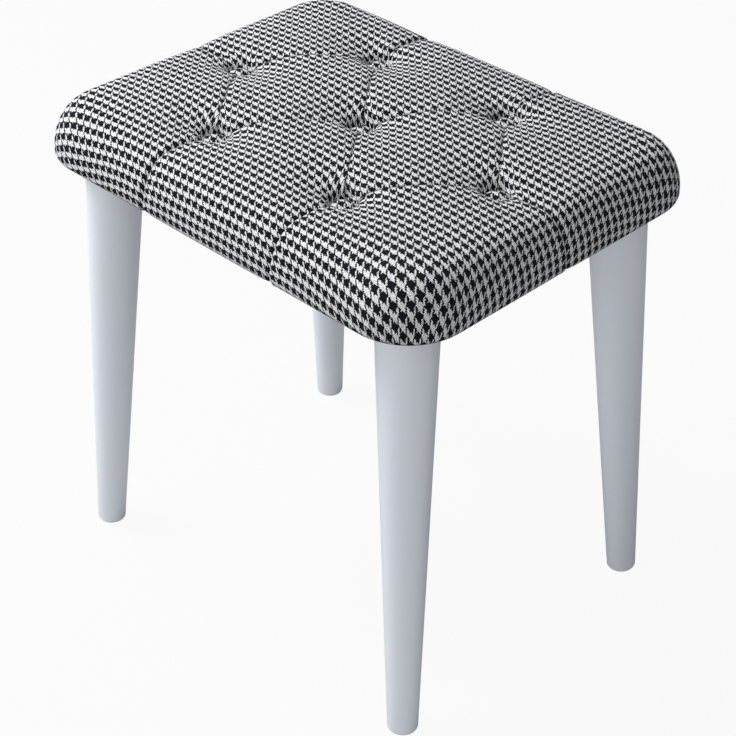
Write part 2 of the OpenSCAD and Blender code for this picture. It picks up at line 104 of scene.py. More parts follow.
def make_camera():
    lens = bpy.data.cameras.new("camera")
    lens.lens, lens.sensor_width = CAMERA_LENS, CAMERA_SENSOR
    camera = bpy.data.objects.new("camera", lens)
    back = Vector((math.sin(CAMERA_AZIMUTH) * math.cos(CAMERA_ELEVATION),
                   -math.cos(CAMERA_AZIMUTH) * math.cos(CAMERA_ELEVATION),
                   math.sin(CAMERA_ELEVATION)))
    aimed(camera, CAMERA_AIM + back * CAMERA_DISTANCE, CAMERA_AIM)
    bpy.context.scene.camera = camera
    bpy.context.scene.view_settings.view_transform = "Standard"


def make_lamp(name, place, energy):
    lamp = bpy.data.lights.new(name, "AREA")
    lamp.shape, lamp.size, lamp.energy = "DISK", LAMP_SIZE, energy
    holder = bpy.data.objects.new(name, lamp)
    holder.visible_camera = False
    aimed(holder, place, LAMP_AIM)


# ---------------------------------------------------------------- materials
class Wire:
    """A socket of a node tree. Arithmetic on it adds Math nodes."""

    def __init__(self, recipe, socket):
        self.recipe, self.socket = recipe, socket

    def math(self, operation, *others):
        return self.recipe.node("ShaderNodeMath", {"operation": operation}, dict(enumerate((self, *others))))

    def __add__(self, other):
        return self.math("ADD", other)

    def __sub__(self, other):
        return self.math("SUBTRACT", other)

    def __mul__(self, other):
        return self.math("MULTIPLY", other)

    def __truediv__(self, other):
        return self.math("DIVIDE", other)

    def __mod__(self, other):
        return self.math("FLOORED_MODULO", other)

    def __lt__(self, other):
        return self.math("LESS_THAN", other)

    def __gt__(self, other):
        return self.math("GREATER_THAN", other)

    def __rsub__(self, other):
        return self.recipe.node("ShaderNodeMath", {"operation": "SUBTRACT"}, {0: other, 1: self})

    __radd__ = __add__


class Recipe:
    """The nodes of a material or of the world."""

    def __init__(self, owner):
        owner.use_nodes = True
        self.tree = owner.node_tree
        self.tree.nodes.clear()

    def node(self, kind, settings=None, inputs=None, output=0):
        """Adds a node: its settings first, then the values or links of its sockets."""
        made = self.tree.nodes.new(kind)
        for name, value in (settings or {}).items():
            setattr(made, name, value)
        for key, value in (inputs or {}).items():
            if isinstance(value, Wire):
                self.tree.links.new(value.socket, made.inputs[key])
            else:
                made.inputs[key].default_value = value
        return Wire(self, made.outputs[output]) if len(made.outputs) else None

    def parts(self, vector):
        split = self.node("ShaderNodeSeparateXYZ", {}, {0: vector})
        return [Wire(self, split.socket.node.outputs[k]) for k in range(3)]

    def blend(self, factor, a, b):
        """A colour between a and b."""
        return self.node("ShaderNodeMix", {"data_type": "RGBA"}, {0: factor, 6: a, 7: b}, 2)

    def noise(self, vector, scale, detail=2.0, roughness=0.5, output=0):
        """A noise's value, or its colour as output 1."""
        sockets = {"Vector": vector, "Scale": scale, "Detail": detail, "Roughness": roughness}
        return self.node("ShaderNodeTexNoise", {}, sockets, output)

    def cells(self, vector, scale, output=0):
        """The distance to the middle of a cell, or the cell's colour as output 1."""
        return self.node("ShaderNodeTexVoronoi", {"feature": "F1"}, {"Vector": vector, "Scale": scale}, output)

    def place(self):
        """The place on the object, in metres."""
        return self.node("ShaderNodeTexCoord", {}, {}, "Object")

    def stretched(self, vector, factors):
        return self.node("ShaderNodeVectorMath", {"operation": "MULTIPLY"}, {0: vector, 1: factors})

    def bump(self, height, depth, strength=1.0):
        return self.node("ShaderNodeBump", {}, {"Height": height, "Distance": depth, "Strength": strength})

    def surface(self, **inputs):
        """The material's shader and output. Socket names are written with underscores."""
        shader = self.node("ShaderNodeBsdfPrincipled", {},
                           {name.replace("_", " "): value for name, value in inputs.items()})
        self.node("ShaderNodeOutputMaterial", {}, {0: shader})


def colour(red, green, blue):
    return (red, green, blue, 1.0)


def new_material(name):
    material = bpy.data.materials.new(name)
    return material, Recipe(material)


# The check, in threads of 1 mm. The threads along u are fuller and show over FULL_W of every TWILL threads
REPEAT, DARK_W, DARK_SHIFT = 8, 4.7, 0.35
TWILL, FULL_W, FULL_SHIFT, THIN_SHIFT = 4, 2.55, 0.3, 2
# Where a thread is highest between the threads that hold it down, and how fast it falls off
FULL_CROWN, THIN_CROWN = (1.28, 0.62), (0.98, 0.8)
# The threads' slow wander and ragged edges: the scale of the noise and its reach
WANDER, FUZZ = (0.16, 1.1), (0.75, 1.7)
# Painted shade on the yarn: its brightness between threads, what its height adds back, and what the shade painted in
# creases takes away
PAINTED_GAP_LIGHT, PAINTED_CROWN_LIGHT, PAINTED_FOLD_SHADE = 0.28, 0.92, 0.8


def check_cloth():
    """Houndstooth: four dark and four light threads each way, in a two-and-two twill.

    A point attribute of the cover paints shade into its creases and onto its turn under the board.
    """
    material, cloth = new_material("check_cloth")
    thread = cloth.node("ShaderNodeUVMap", {"uv_map": "cloth"})
    wander, fuzz = ([(part - 0.5) * reach for part in cloth.parts(cloth.noise(thread, scale, output=1))[:2]]
                    for scale, reach in (WANDER, FUZZ))
    along, across, _ = cloth.parts(thread)
    u, v = along + wander[0] + fuzz[0], across + wander[1] + fuzz[1]
    column, row = u.math("FLOOR"), v.math("FLOOR")
    full, thin = (u + row + FULL_SHIFT) % TWILL, (v + column + THIN_SHIFT) % TWILL
    full_up = full < FULL_W

    def on_top(of_full, of_thin):
        return full_up * of_full + (1 - full_up) * of_thin

    def dark_at(place):
        return ((place + DARK_SHIFT) % REPEAT) < DARK_W

    def crown(offset):
        return 1 - offset * offset

    def thread_height(across_it, along_it, middle, fall):
        return crown((across_it - 0.5) * 2) * crown((along_it - middle) * fall)

    dark = on_top(dark_at(v), dark_at(u))
    height = on_top(thread_height(v - row, full, *FULL_CROWN), thread_height(u - column, thin, *THIN_CROWN))
    yarn = (cloth.noise(thread, 0.95, 3.0, 0.6) * 2.4 - 0.7).math("MINIMUM", 1.0).math("MAXIMUM", 0.0)
    light_yarn = cloth.blend(yarn, colour(0.82, 0.825, 0.835), colour(1.0, 1.0, 1.0))
    dark_yarn = cloth.blend(yarn, colour(0.001, 0.0012, 0.0022), colour(0.016, 0.018, 0.024))
    woven = cloth.blend(dark, light_yarn, dark_yarn)
    # Painted shade: the colour is darkened in the gaps between threads, less towards their crowns, and darkened again
    # where the cover's attribute paints shade into creases and the turn under the board
    painted_shade = cloth.node("ShaderNodeAttribute", {"attribute_name": "painted_shade"}, {}, 2)
    shade = (PAINTED_GAP_LIGHT + height * PAINTED_CROWN_LIGHT).math("MINIMUM", 1.0) * (1 - painted_shade * PAINTED_FOLD_SHADE)
    shaded = cloth.node("ShaderNodeMix", {"data_type": "RGBA", "blend_type": "MULTIPLY"},
                        {0: 1.0, 6: woven, 7: shade}, 2)
    relief = height + yarn * 0.5
    cloth.surface(Base_Color=shaded, Roughness=0.82 + yarn * 0.12, Specular_IOR_Level=0.08,
                  Normal=cloth.bump(relief, 0.00035, 0.7))
    return material


def white_lacquer():
    """Satin paint with a slight peel."""
    material, paint = new_material("white_lacquer")
    place = paint.place()
    cloud = paint.noise(place, 7.0)
    peel = paint.noise(place, 420.0)
    tint = paint.blend(cloud, colour(0.755, 0.795, 0.86), colour(0.785, 0.82, 0.88))
    paint.surface(Base_Color=tint, Roughness=0.30 + cloud * 0.08 + peel * 0.04, IOR=1.48,
                  Normal=paint.bump(peel, 0.00002, 0.5))
    return material


def plywood():
    """Birch ply: pale faces with a long grain, and plies of 1.6 mm that alternate on the edge."""
    material, wood = new_material("plywood")
    place = wood.place()
    grain = wood.noise(wood.stretched(place, (14.0, 190.0, 60.0)), 1.0, 5.0, 0.65)
    _, _, height = wood.parts(place)
    ply = (((height - BOARD_Z * MM) / 0.0032) % 1) > 0.5
    face = wood.blend(grain, colour(0.55, 0.38, 0.22), colour(0.76, 0.60, 0.41))
    edge = wood.blend(ply * 0.45, face, colour(0.36, 0.23, 0.13))
    wood.surface(Base_Color=edge, Roughness=0.62 + grain * 0.2, Normal=wood.bump(grain, 0.0002, 0.4))
    return material


def foam():
    """Open cells, yellowed a little."""
    material, pad = new_material("foam")
    place = pad.place()
    cells = pad.cells(place, 900.0)
    cloud = pad.noise(place, 18.0)
    pad.surface(Base_Color=pad.blend(cloud, colour(0.80, 0.73, 0.50), colour(0.90, 0.85, 0.64)),
                Roughness=0.92, Normal=pad.bump(cells, 0.0006, 0.8))
    return material


def fibre_wadding():
    """Crimped white fibres, bonded flat."""
    material, fibre = new_material("fibre_wadding")
    strands = fibre.noise(fibre.stretched(fibre.place(), (240.0, 700.0, 400.0)), 1.0, 6.0, 0.75)
    fibre.surface(Base_Color=fibre.blend(strands, colour(0.80, 0.80, 0.78), colour(0.95, 0.95, 0.94)),
                  Roughness=0.95, Normal=fibre.bump(strands, 0.0008, 0.7))
    return material


def waxed_twine():
    """Strands laid round a twine that runs mostly upright."""
    material, twine = new_material("waxed_twine")
    place = twine.place()
    x, y, z = twine.parts(place)
    lay = ((x + y) * 900 + z * 1400).math("SINE")
    fibre = twine.noise(place, 1500.0, 3.0)
    twine.surface(Base_Color=twine.blend(lay * 0.35 + 0.5, colour(0.42, 0.31, 0.18), colour(0.72, 0.60, 0.42)),
                  Roughness=0.5 + fibre * 0.15, Normal=twine.bump(lay * 0.5 + fibre * 0.4, 0.0002, 0.8))
    return material


def black_nonwoven():
    """Spun fibres, pressed together at rows of small points."""
    material, felt = new_material("black_nonwoven")
    place = felt.place()
    x, y, _ = felt.parts(place)
    pressed = (x * 2100).math("SINE") * (y * 2100).math("SINE") > 0.55
    fibre = felt.noise(place, 1100.0, 5.0, 0.7)
    felt.surface(Base_Color=felt.blend(fibre, colour(0.012, 0.012, 0.013), colour(0.055, 0.055, 0.058)),
                 Roughness=0.72 + fibre * 0.2 - pressed * 0.25,
                 Normal=felt.bump(fibre - pressed * 0.8, 0.00012, 0.8))
    return material


def bright_steel():
    """Drawn wire, with fine marks along it."""
    material, wire = new_material("bright_steel")
    marks = wire.noise(wire.stretched(wire.place(), (500.0, 500.0, 2600.0)), 1.0, 4.0)
    wire.surface(Base_Color=wire.blend(marks, colour(0.56, 0.56, 0.55), colour(0.76, 0.76, 0.75)),
                 Metallic=1.0, Roughness=0.22 + marks * 0.2, Normal=wire.bump(marks, 0.00004, 0.4))
    return material


def zinc_steel():
    """Zinc plate over pressed and turned steel, with a faint bloom."""
    material, zinc = new_material("zinc_steel")
    place = zinc.place()
    patch, _, _ = zinc.parts(zinc.cells(place, 260.0, output=1))
    bloom = zinc.noise(place, 60.0, 4.0)
    tint = zinc.blend(patch * 0.5 + bloom * 0.5, colour(0.50, 0.52, 0.54), colour(0.70, 0.72, 0.74))
    zinc.surface(Base_Color=tint, Metallic=1.0, Roughness=0.3 + bloom * 0.22,
                 Normal=zinc.bump(bloom + patch * 0.3, 0.00005, 0.4))
    return material


FINISHES = {make.__name__: make() for make in (check_cloth, white_lacquer, plywood, foam, fibre_wadding,
                                                waxed_twine, black_nonwoven, bright_steel, zinc_steel)}


def make_floor():
    """A wide pale floor. To the camera most of it is its own white, so that the stool's shadow stays soft."""
    bpy.ops.mesh.primitive_plane_add(size=FLOOR_SIZE, location=(0, 0, -FLOOR_DROP))
    bpy.ops.object.transform_apply(location=True, rotation=True, scale=True)
    floor = bpy.context.object
    floor.name = "floor"
    material, ground = new_material("pale_floor")
    ray = ground.node("ShaderNodeLightPath", {}, {}, "Is Camera Ray")
    below = ground.node("ShaderNodeNewGeometry", {}, {}, "Backfacing")
    paint = ground.node("ShaderNodeBsdfDiffuse", {}, {"Color": colour(0.45, 0.45, 0.46)})
    white = ground.node("ShaderNodeEmission", {}, {"Color": colour(1, 1, 1), "Strength": 1.0})
    upper = ground.node("ShaderNodeMixShader", {}, {0: ray * FLOOR_OWN_WHITE, 1: paint, 2: white})
    # The soles of the feet stand just over the floor, and are lit as if they were lifted from it
    under_foot = ground.node("ShaderNodeLightPath", {}, {}, "Ray Length") < SOLE_GAP
    glow = ground.node("ShaderNodeEmission", {}, {"Color": colour(1, 1, 1), "Strength": SOLE_GLOW})
    upper = ground.node("ShaderNodeMixShader", {}, {0: under_foot, 1: upper, 2: glow})
    open_below = ground.node("ShaderNodeBsdfTransparent", {}, {})
    ground.node("ShaderNodeOutputMaterial", {},
                {0: ground.node("ShaderNodeMixShader", {}, {0: below, 1: upper, 2: open_below})})
    floor.data.materials.append(material)


def light_the_room():
    """A pale room that the camera and reflections see as white, a high window and two low lamps."""
    world = bpy.data.worlds.new("white_room")
    bpy.context.scene.world = world
    room = Recipe(world)
    camera, glossy, through = (room.node("ShaderNodeLightPath", {}, {}, name)
                               for name in ("Is Camera Ray", "Is Glossy Ray", "Is Transmission Ray"))
    backdrop = (camera + glossy + through).math("MINIMUM", 1.0)
    lit = room.node("ShaderNodeBackground", {}, {0: colour(0.97, 0.985, 1.0), 1: ROOM_LIGHT})
    white = room.node("ShaderNodeBackground", {}, {0: colour(1, 1, 1), 1: 1.0})
    room.node("ShaderNodeOutputWorld", {}, {0: room.node("ShaderNodeMixShader", {}, {0: backdrop, 1: lit, 2: white})})
    for name, (place, energy) in LAMPS.items():
        make_lamp(name, place, energy)


# ---------------------------------------------------------------- wells and pleats, in millimetres
# A well falls steeply by the button and then gently. The gentle part's run changes with the direction
WELL_STEEP, WELL_STEEP_RUN, WELL_RUN = 0.45, 1.6, 15.0
WELL_TO_RIGHT, WELL_TO_BACK, WELL_LENGTHWISE, WELL_SHORTEST = 0.08, -0.25, 0.6, 0.28
WELL_FADE_START, WELL_FADE_RUN = 40.0, 32.0
# The small puckers round a button: how many there are, how they turn from tuft to tuft, and how strong they are
PUCKERS = ((13, 1.7, 1.0), (17, 2.9, 0.8), (7, 0.6, 0.7))
PUCKER_SHARE, PUCKER_RISE_RUN, PUCKER_FADE_RUN = 0.022, 3.0, 7.0
# A pleat's crease is steep on one side, where the cloth beyond it rises in a lip, and soft on the other
CREASE_STEEP, CREASE_SOFT = 2.2, 4.4
LIP_RISE, LIP_WAY, LIP_W, LIP_REACH = 0.2, 4.5, 2.6, 12.0
# The crease's depth between tufts, what its middle lacks, and the depth of the broad slopes at its ends
PLEAT_DEPTH, PLEAT_MIDDLE_LESS, PLEAT_W = 3.0, 0.8, 36.0
PLEAT_FLARES = (1.0, 3.6, 5.4, 6.0, 1.0, 6.0, 1.0, 6.0)
# The same for the pleats over the edge, which are deeper by the tuft and fade down the side
EDGE_DEPTHS, EDGE_PLEAT_W = (2.2, 2.2, 2.2, 2.2, 1.6, 1.6), 60.0
EDGE_FLARES = (5.5, 6.0, 5.5, 1.5, 6.0, 3.0)
EDGE_DEEPER, EDGE_DEEPER_RUN, EDGE_FLARE_RUN = 0.5, 18.0, 40.0
EDGE_FADE_START, EDGE_FADE_RUN = 95.0, 45.0
FOLD_BLEND = 5
# The seat's shoulder is a little flatter than the bare roll, most of all at this way from the pole line
SHOULDER_SINK, SHOULDER_WAY, SHOULDER_RUN = 1.5, 21.0, 12.0

# ---------------------------------------------------------------- the seat's surface
# The seat's sheets share one grid. From the middle out, each half of it has even cells between the rows of tufts,
# then a margin up to the pole line, where the round corners have their middle, and then steps across the flat,
# the rolled edge, the turn under it and the hem.
PITCH_CELLS, MARGIN_CELLS = 48, 14
FLAT_STEPS, ROLL_STEPS, TURN_STEPS, HEM_STEPS = 10, 38, 8, 4
ROLL_END = FLAT_STEPS + ROLL_STEPS
TURN_END = ROLL_END + TURN_STEPS
EDGE_STEPS = TURN_END + HEM_STEPS
POLE_CELLS = (2 * PITCH_CELLS + MARGIN_CELLS, PITCH_CELLS + MARGIN_CELLS)
FLAT_W = CORNER_R - EDGE_ROLL
# How much smaller the cells are at the rows of tufts, and how finely the length of the edge is measured
TUFT_CLOSING, PARTS_OF_STEP = 0.42, 40
# The share by which the cloth is stretched down the edge at the corners, and how far from them it reaches
CORNER_DRAW, CORNER_DRAW_START, CORNER_DRAW_RUN = 0.28, 10.0, 132.0


def smooth(share):
    share = np.clip(share, 0, 1)
    return share * share * (3 - 2 * share)


def edge_profile(step, depth, roll_turn):
    """Reach past the pole line, and height, of the seat's edge at a step, for a layer at a depth."""
    flat = np.clip(step / FLAT_STEPS, 0, 1)
    roll = np.clip((step - FLAT_STEPS) / ROLL_STEPS, 0, 1) * roll_turn
    turn = np.clip((step - ROLL_END) / TURN_STEPS, 0, 1) * QUARTER_TURN
    hem = np.clip((step - TURN_END) / HEM_STEPS, 0, 1)
    lift = depth + (HEM_T - depth) * np.sin(turn) ** 2 if depth else 0.0
    reach = (FLAT_W * flat + (EDGE_ROLL - depth) * np.sin(roll) - (TURN_R - depth) * (1 - np.cos(turn))
             - (HEM_W - TURN_R) * hem)
    height = SIDE_Z + (EDGE_Z - depth - SIDE_Z) * np.cos(roll) - (SIDE_Z - UNDER_Z - lift) * np.sin(turn)
    return reach, height


class SeatGrid:
    """The grid of the seat's sheets up to a last step of the edge, taken every few cells.

    Its cells are smaller at the rows of tufts than between them.
    """

    def __init__(self, every=1, last_step=EDGE_STEPS):
        lines = [np.arange(-POLE_CELLS[k] - last_step, POLE_CELLS[k] + last_step + 1, every) for k in (0, 1)]
        self.index = np.meshgrid(*lines, indexing="ij")
        self.side = [np.sign(i) for i in self.index]
        self.core = []
        for k in (0, 1):
            rows = 2 - k
            marks = [0, rows * PITCH_CELLS, POLE_CELLS[k]]
            cells = np.interp(np.abs(self.index[k]), marks, [0, rows, rows])
            closer = cells - TUFT_CLOSING * np.sin(WHOLE_TURN * cells) / WHOLE_TURN
            margin = np.maximum(np.abs(self.index[k]) - marks[1], 0) / MARGIN_CELLS
            self.core.append(closer * PITCH[k] + np.minimum(margin, 1) * (POLE[k] - rows * PITCH[k]))
        steps = [np.maximum(np.abs(self.index[k]) - POLE_CELLS[k], 0) for k in (0, 1)]
        self.step = np.maximum(*steps)
        least = np.minimum(*steps) / np.maximum(self.step, 1)
        self.angle = np.where(steps[0] >= steps[1], least, 2 - least) * (math.pi / 4)
        self.way = [np.where(self.step > 0, part(self.angle), 0) for part in (np.cos, np.sin)]

    def bare(self, depth=0.0, roll_turn=QUARTER_TURN):
        """The sheet at a depth before the tufts draw it in."""
        reach, height = edge_profile(self.step, depth, roll_turn)
        x, y = (self.side[k] * (self.core[k] + reach * self.way[k]) for k in (0, 1))
        crown = CROWN_RISE
        for place, half in ((x, POLE[0] + FLAT_W), (y, POLE[1] + FLAT_W)):
            crown = crown * (1 - np.clip(np.abs(place) / half, 0, 1) ** 4) ** 2
        height = height + np.where(self.step <= FLAT_STEPS, crown, 0)
        return np.stack([x, y, height], -1)

    def cloth_way(self):
        """Distance down the edge from the pole line on the bare cover, and the share that the corners draw."""
        steps = np.arange(EDGE_STEPS + 1)
        fine = np.linspace(0, EDGE_STEPS, PARTS_OF_STEP * EDGE_STEPS + 1)
        reach, height = edge_profile(fine, 0.0, QUARTER_TURN)
        run = np.concatenate([[0], np.cumsum(np.hypot(np.diff(reach), np.diff(height)))])
        down = np.interp(self.step, steps, run[::PARTS_OF_STEP])
        past = np.where(self.way[0] > self.way[1], POLE[1] - self.core[1], POLE[0] - self.core[0])
        round_corner = CORNER_R * np.abs(self.angle - math.pi / 4) + past
        draw = CORNER_DRAW * (1 - smooth(round_corner / CORNER_DRAW_RUN))
        return down, draw

    def flat_cloth(self, drawn):
        """The same points on the flat cloth. Where it is drawn, the corners stretch it down the edge."""
        down, draw = self.cloth_way()
        if drawn:
            down = down - draw * (np.hypot(down, CORNER_DRAW_START) - CORNER_DRAW_START)
        return [self.side[k] * (self.core[k] + down * self.way[k]) for k in (0, 1)]


def normals_of(points):
    across = np.cross(np.gradient(points, axis=0), np.gradient(points, axis=1))
    return across / np.linalg.norm(across, axis=-1, keepdims=True)


def tuft_place(tuft):
    return tuft[0] * PITCH[0], tuft[1] * PITCH[1]


def tuft_offset(x, y, tuft):
    """Distance and direction of each point from a tuft."""
    middle_x, middle_y = tuft_place(tuft)
    off_x, off_y = x - middle_x, y - middle_y
    return np.hypot(off_x, off_y), np.arctan2(off_y, off_x)


# Each pleat: its start, its end, and the side of its lip. Some run from tuft to tuft, and the others from an outer
# tuft straight over the edge to a far point
FAR = 400.0
TUFT_PLEATS = [(tuft_place(a), tuft_place(b), b[1] - a[1])
               for a in TUFTS for b in TUFTS if b[0] - a[0] == 1 and abs(b[1] - a[1]) == 1]
EDGE_PLEATS = [(tuft_place((kx, ky)), (kx * PITCH[0], ky * FAR), kx * ky) for kx, ky in TUFTS if ky] + [
    (tuft_place((kx, 0)), (math.copysign(FAR, kx), 0.0), np.sign(kx)) for kx, _ in TUFTS if abs(kx) == 2]


def crease(x, y, start, end, lip=1, width=PLEAT_W):
    """The sharp and the broad part of a crease along a line, how far along it each point is, and its length."""
    run = np.array(end) - np.array(start)
    length = np.hypot(*run)
    run = run / length
    along = np.clip((x - start[0]) * run[0] + (y - start[1]) * run[1], 0, length)
    off_x, off_y = x - start[0] - along * run[0], y - start[1] - along * run[1]
    lip_way = (off_x * run[1] - off_y * run[0]) * lip
    distance = np.hypot(off_x, off_y)
    sharp = np.exp(-distance / np.where(lip_way > 0, CREASE_STEEP, CREASE_SOFT))
    raised = LIP_RISE * np.exp(-((lip_way - LIP_WAY) / LIP_W) ** 2) * (distance < LIP_REACH)
    broad = np.maximum(1 - distance / width, 0) ** 2
    return sharp - raised, broad, along, length


def well_share(x, y):
    """How far down a well each point is, from 0 on the open cloth to 1 under a button."""
    funnel = np.zeros_like(x)
    for number, tuft in enumerate(TUFTS):
        distance, turn = tuft_offset(x, y, tuft)
        out = np.maximum(distance - WELL_FLAT_R, 0)
        longer = (1 + WELL_TO_RIGHT * np.cos(turn) + WELL_TO_BACK * np.sin(turn)
                  + WELL_LENGTHWISE * np.cos(2 * turn))
        gentle = np.exp(-out / WELL_RUN / np.maximum(longer, WELL_SHORTEST))
        shape = WELL_STEEP * np.exp(-out / WELL_STEEP_RUN) + (1 - WELL_STEEP) * gentle
        shape = shape * (1 - smooth((distance - WELL_FADE_START) / WELL_FADE_RUN))
        puckers = sum(strength * np.sin(count * turn + start * number) for count, start, strength in PUCKERS)
        fade = smooth(out / PUCKER_RISE_RUN) * np.exp(-out / PUCKER_FADE_RUN)
        funnel = np.maximum(funnel, shape + PUCKER_SHARE * puckers * fade)
    return funnel


def pleat_depths(x, y):
    """How deep each pleat lies at each point."""
    depths = []
    for (start, end, lip), flare in zip(TUFT_PLEATS, PLEAT_FLARES):
        sharp, broad, along, length = crease(x, y, start, end, lip)
        middle = np.sin(along / length * math.pi)
        depths.append(sharp * (PLEAT_DEPTH - PLEAT_MIDDLE_LESS * middle) + broad * flare * (1 - middle))
    for (start, end, lip), depth, flare in zip(EDGE_PLEATS, EDGE_DEPTHS, EDGE_FLARES):
        sharp, broad, along, _ = crease(x, y, start, end, lip, EDGE_PLEAT_W)
        deeper = depth * (1 + EDGE_DEEPER * np.exp(-along / EDGE_DEEPER_RUN))
        fade = 1 - smooth((along - EDGE_FADE_START) / EDGE_FADE_RUN)
        depths.append((sharp * deeper + broad * flare * np.exp(-along / EDGE_FLARE_RUN)) * fade)
    return [np.maximum(depth, 0) for depth in depths]


def drawn_in(grid, bare):
    """How far the tufts and pleats draw the bare sheet in, along its normals."""
    x, y = grid.flat_cloth(False)
    down, _ = grid.cloth_way()
    sink = sum(depth ** FOLD_BLEND for depth in pleat_depths(x, y)) ** (1 / FOLD_BLEND)
    sink = sink + SHOULDER_SINK * np.exp(-((down - SHOULDER_WAY) / SHOULDER_RUN) ** 2)
    funnel = well_share(x, y)
    return (bare[..., 2] - WELL_Z) * funnel + sink * (1 - funnel)


# Painted shade: where a crease starts to be painted dark, how much shade is painted on the pleats over the edge and
# where it fades, and the line of shade painted on the turn under the board
PAINTED_SHADE_START = 0.62
EDGE_PAINTED_SHADE, EDGE_PAINTED_SHADE_FADE_START, EDGE_PAINTED_SHADE_FADE_RUN = 0.7, 70.0, 50.0
UNDER_PAINTED_SHADE_STEP, UNDER_PAINTED_SHADE_W = ROLL_END + 4, 1.6


def painted_fold_shade(grid):
    """How much shade is painted on each point for its place in a crease or on the cloth's turn under the board, from
    0 to 1.
    """
    x, y = grid.flat_cloth(False)
    shade = np.exp(-((grid.step - UNDER_PAINTED_SHADE_STEP) / UNDER_PAINTED_SHADE_W) ** 2)
    for pleat in TUFT_PLEATS + EDGE_PLEATS:
        start, end, _ = pleat
        sharp, _, along, _ = crease(x, y, start, end)
        dark = smooth((sharp - PAINTED_SHADE_START) / (1 - PAINTED_SHADE_START))
        if pleat in EDGE_PLEATS:
            dark = dark * (EDGE_PAINTED_SHADE - EDGE_PAINTED_SHADE * smooth((along - EDGE_PAINTED_SHADE_FADE_START) / EDGE_PAINTED_SHADE_FADE_RUN))
        shade = np.maximum(shade, dark)
    return shade


def sheet_points(grid, depth, roll_turn=QUARTER_TURN):
    bare = grid.bare(depth, roll_turn)
    return bare - drawn_in(grid, grid.bare())[..., None] * normals_of(bare)


def finer(field):
    """A field on every second cell, spread to every cell."""
    shape = (2 * field.shape[0] - 1, 2 * field.shape[1] - 1, field.shape[2])
    spread = np.zeros(shape)
    spread[::2, ::2] = field
    spread[1::2, ::2] = (field[:-1] + field[1:]) / 2
    spread[:, 1::2] = (spread[:, :-1:2] + spread[:, 2::2]) / 2
    return spread


def grid_ids(shape, start=0):
    return np.arange(shape[0] * shape[1]).reshape(shape) + start


def grid_quads(shape, start=0):
    ids = grid_ids(shape, start)
    return np.stack([ids[:-1, :-1], ids[1:, :-1], ids[1:, 1:], ids[:-1, 1:]], -1).reshape(-1, 4)


def rim_of(shape, start=0):
    """The grid's edge, once round from its first corner."""
    ids = grid_ids(shape, start)
    return np.concatenate([ids[:-1, 0], ids[-1, :-1], ids[:0:-1, -1], ids[0, :0:-1]])


def vertex_places(mesh):
    """The places of a mesh's vertices, in metres."""
    places = np.zeros(len(mesh.vertices) * 3, np.float32)
    mesh.vertices.foreach_get("co", places)
    return places.reshape(-1, 3)


def lay_check(mesh, corners):
    """Gives a mesh its places on the cloth, in millimetres, for each corner of its faces."""
    layer = mesh.uv_layers.new(name="cloth")
    layer.data.foreach_set("uv", corners.astype(np.float32).ravel())


def new_piece(name, points, faces, finish, node_name):
    """A smooth piece from points in millimetres, that stands for a CAD node."""
    mesh = bpy.data.meshes.new(name)
    mesh.from_pydata((points * MM).tolist(), [], faces)
    mesh.validate()
    mesh.materials.append(FINISHES[finish])
    mesh.shade_smooth()
    piece = bpy.data.objects.new(name, mesh)
    bpy.context.scene.collection.objects.link(piece)
    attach(piece, "root")
    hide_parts(node_name)
    return piece


SIM_FRAMES = 16
SIM_CLOTH = {"quality": 5, "mass": 0.3, "tension_stiffness": 18, "compression_stiffness": 18,
             "shear_stiffness": 6, "bending_stiffness": 0.6, "use_pressure": True, "uniform_pressure_force": 1.2}
SIM_CAP = 1.4
# What is held: the last steps of the roll and all beyond, a ring round each button, and the heart of each crease
HELD_STEP, HELD_R, HELD_CREASE = ROLL_END - 6, WELL_FLAT_R + 3, 0.7


def settled(grid, points, normals):
    """How far the cover's cloth rises as it settles over the padding."""
    mesh = bpy.data.meshes.new("settling_cloth")
    mesh.from_pydata((points.reshape(-1, 3) * MM).tolist(), [], grid_quads(points.shape[:2]).tolist())
    cloth = bpy.data.objects.new("settling_cloth", mesh)
    bpy.context.scene.collection.objects.link(cloth)
    x, y = (c.ravel() for c in grid.flat_cloth(False))
    held = grid.step.ravel() >= HELD_STEP
    for tuft in TUFTS:
        held |= tuft_offset(x, y, tuft)[0] < HELD_R
    for start, end, _ in TUFT_PLEATS + EDGE_PLEATS:
        held |= crease(x, y, start, end)[0] > HELD_CREASE
    group = cloth.vertex_groups.new(name="held")
    group.add(np.nonzero(held)[0].tolist(), 1.0, "REPLACE")
    pressing = cloth.modifiers.new("settle", "CLOTH")
    for name, value in SIM_CLOTH.items():
        setattr(pressing.settings, name, value)
    pressing.settings.vertex_group_mass = group.name
    pressing.settings.effector_weights.gravity = 0
    pressing.collision_settings.use_collision = False
    pressing.point_cache.frame_start, pressing.point_cache.frame_end = 1, SIM_FRAMES
    scene = bpy.context.scene
    for number in range(1, SIM_FRAMES + 1):
        scene.frame_set(number)
    moved = vertex_places(cloth.evaluated_get(bpy.context.evaluated_depsgraph_get()).to_mesh())
    scene.frame_set(1)
    bpy.data.objects.remove(cloth)
    move = moved.reshape(points.shape) / MM - points
    rise = (move * normals).sum(-1, keepdims=True)
    return np.clip(rise, 0, SIM_CAP) * normals


def panels_at(lines):
    """The panel of cloth between pleats that each place is on. The places are given in lines of the grid."""
    i, j = lines[:, 0] / PITCH_CELLS, lines[:, 1] / PITCH_CELLS
    panel = np.where(i < 0, np.where(j < 0, 4, 7), np.where(j < 0, 5, 6))
    panel[(np.abs(i) < 1) & (j < -np.abs(i))] = 2
    panel[(np.abs(i) < 1) & (j > np.abs(i))] = 3
    panel[np.abs(i + 1) + np.abs(j) < 1] = 0
    panel[np.abs(i - 1) + np.abs(j) < 1] = 1
    return panel


